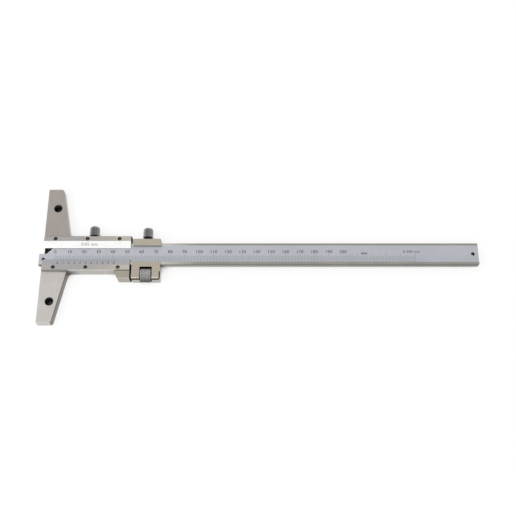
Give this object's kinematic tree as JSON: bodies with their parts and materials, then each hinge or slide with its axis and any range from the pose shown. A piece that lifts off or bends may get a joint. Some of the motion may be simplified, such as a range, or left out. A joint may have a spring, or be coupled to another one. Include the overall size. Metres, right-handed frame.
{
  "type": "vernier depth gauge",
  "caption": "T-shaped steel depth gauge: a long graduated beam slides through a wide base with a bevelled vernier plate, knurled clamp screws and a fine-adjustment nut.",
  "frame": {"origin": "middle of the measuring face at the back face, on the beam's centreline", "axes": "+X along the beam away from the measuring face, +Z out of the graduated face, -Z is the back face that it lies on, Y along the measuring face"},
  "size_m": [0.305, 0.1, 0.0098],
  "materials": {
    "ground_steel": "fine ground, warm grey",
    "satin_chrome": "satin chrome, slightly blue",
    "screw_steel": "blackened",
    "knurled_steel": "knurled, dull",
    "feed_steel": "turned",
    "spring_bronze": "rolled strip"
  },
  "bodies": {
    "frame": {"base_frame": "ground_steel", "upper_cover_plate": "ground_steel", "vernier_plate": "satin_chrome", "upper_plate_screws": "screw_steel", "vernier_plate_screws": "screw_steel", "frame_gib_spring": "spring_bronze", "feed_screw": "feed_steel"},
    "beam": {"beam": "satin_chrome"},
    "carriage": {"carriage": "ground_steel", "carriage_gib_spring": "spring_bronze"},
    "frame_clamp": {"frame_clamp_screw": "knurled_steel"},
    "carriage_clamp": {"carriage_clamp_screw": "knurled_steel"},
    "adjusting_nut": {"adjusting_nut": "knurled_steel"}
  },
  "joints": [
    {"name": "depth_slide", "type": "slide", "parent": "frame", "child": "beam", "axis": [-1, 0, 0], "range_m": [-0.0025, 0.1975]},
    {"name": "carriage_slide", "type": "slide", "parent": "frame", "child": "carriage", "axis": [1, 0, 0], "range_m": [-0.0009, 0.006]},
    {"name": "nut_spin", "type": "hinge", "parent": "carriage", "child": "adjusting_nut", "pos_m": [0.0722, -0.0154, 0.00495], "axis": [1, 0, 0], "range_deg": [-720, 4800]},
    {"name": "frame_clamp_turn", "type": "hinge", "parent": "frame", "child": "frame_clamp", "pos_m": [0.0346, 0.0174, 0.00445], "axis": [0, 1, 0], "range_deg": [0, 360]},
    {"name": "carriage_clamp_turn", "type": "hinge", "parent": "carriage", "child": "carriage_clamp", "pos_m": [0.0722, 0.0162, 0.00445], "axis": [0, 1, 0], "range_deg": [0, 360]}
  ],
  "couplings": [
    {"joint": "nut_spin", "follows": "carriage_slide", "rad_per_m": 13963}
  ]
}
